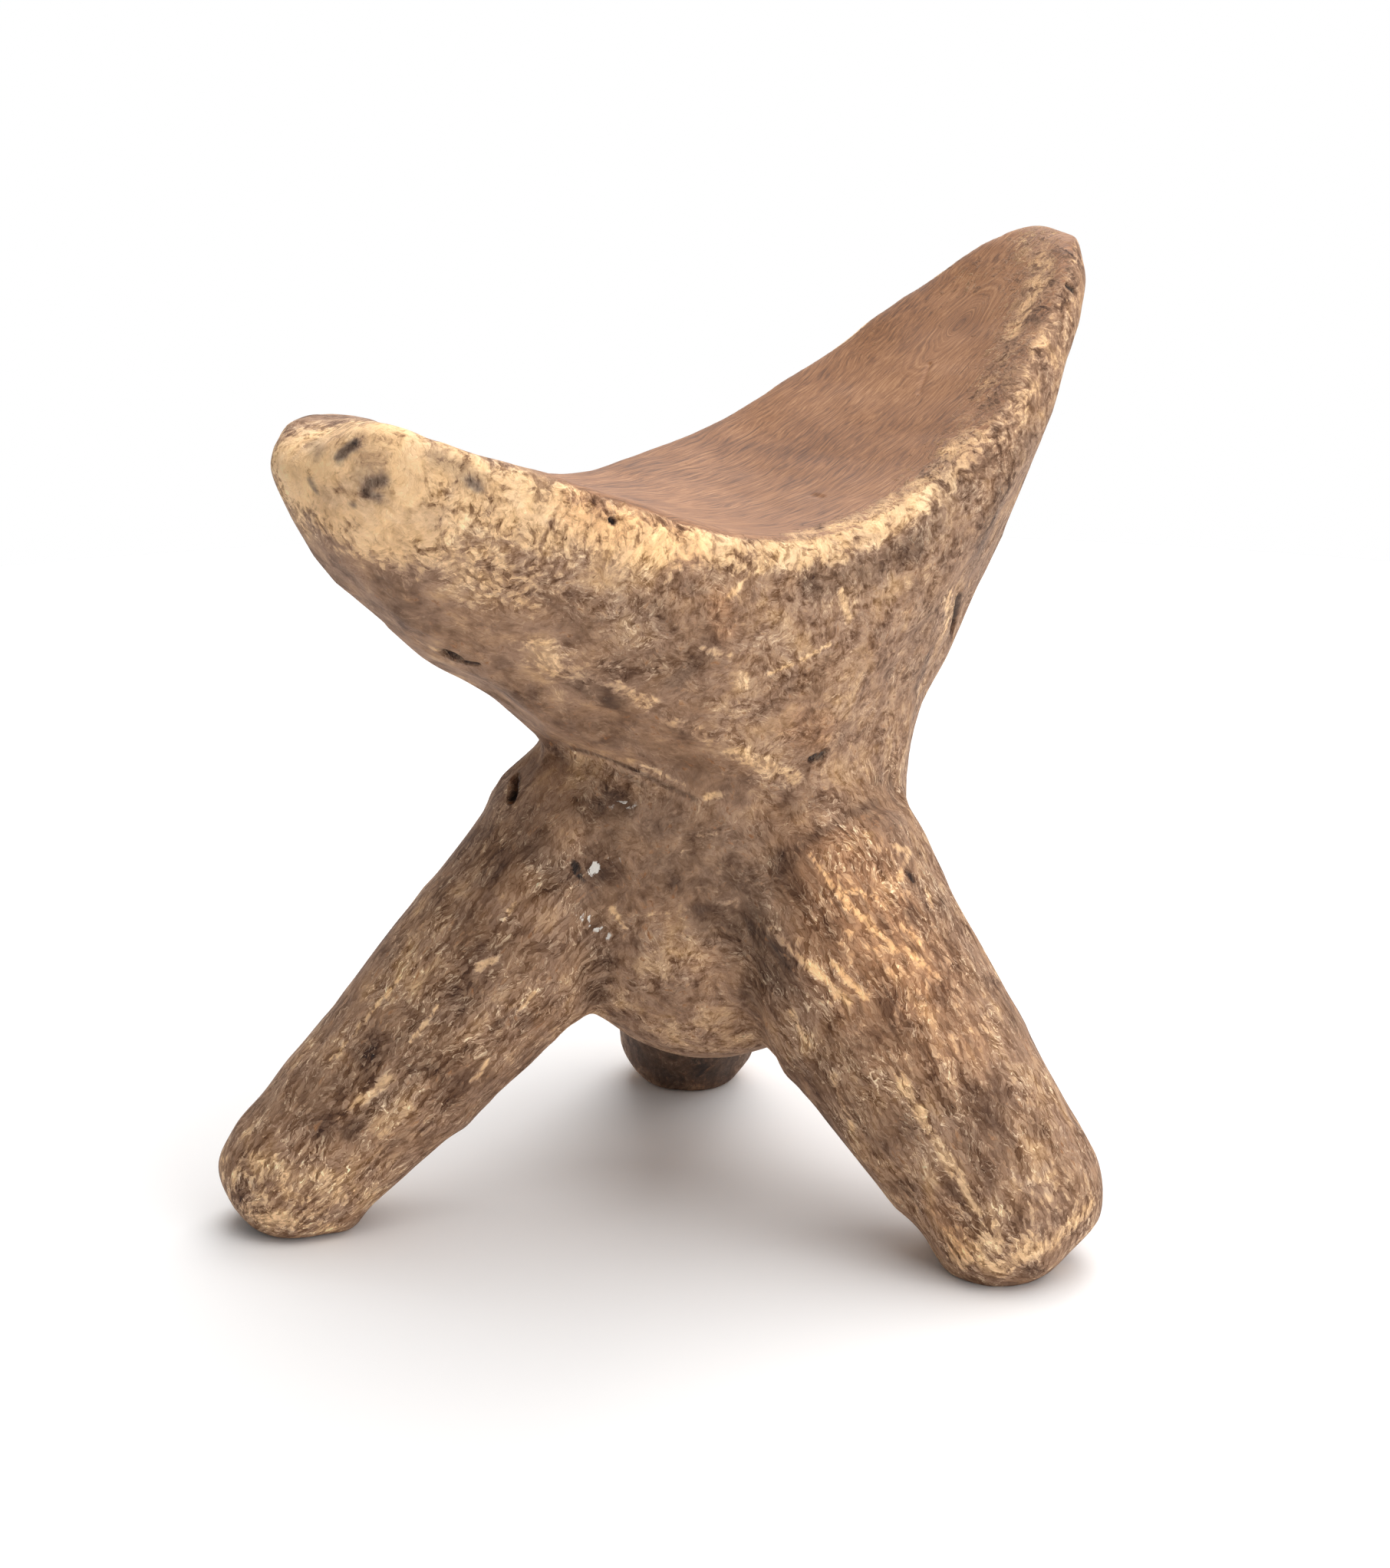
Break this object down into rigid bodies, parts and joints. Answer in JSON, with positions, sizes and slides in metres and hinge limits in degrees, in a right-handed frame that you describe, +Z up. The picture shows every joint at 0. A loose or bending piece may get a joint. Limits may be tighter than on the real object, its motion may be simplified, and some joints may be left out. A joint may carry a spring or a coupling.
{
  "type": "headrest stool",
  "caption": "Carved wooden headrest: a crescent seat with upturned horns, one low and one high, on a narrow waist with splayed round legs; holds up a sleeper's head or neck.",
  "frame": {"origin": "on the floor that the feet stand on, under the middle of the stool's outline", "axes": "+X along the seat towards the high horn, +Y across the seat towards the rear leg's side, +Z up"},
  "size_m": [0.1822, 0.142, 0.1807],
  "materials": {
    "seat_wood": "hand-polished by use, reddish brown, pale and worn along the rim",
    "body_wood": "dry adzed wood, dark brown with pale tan fibres, worn at the feet"
  },
  "bodies": {
    "root": {"saddle": "seat_wood", "waist": "body_wood", "left_leg": "body_wood", "right_leg": "body_wood", "rear_leg": "body_wood"}
  },
  "joints": []
}
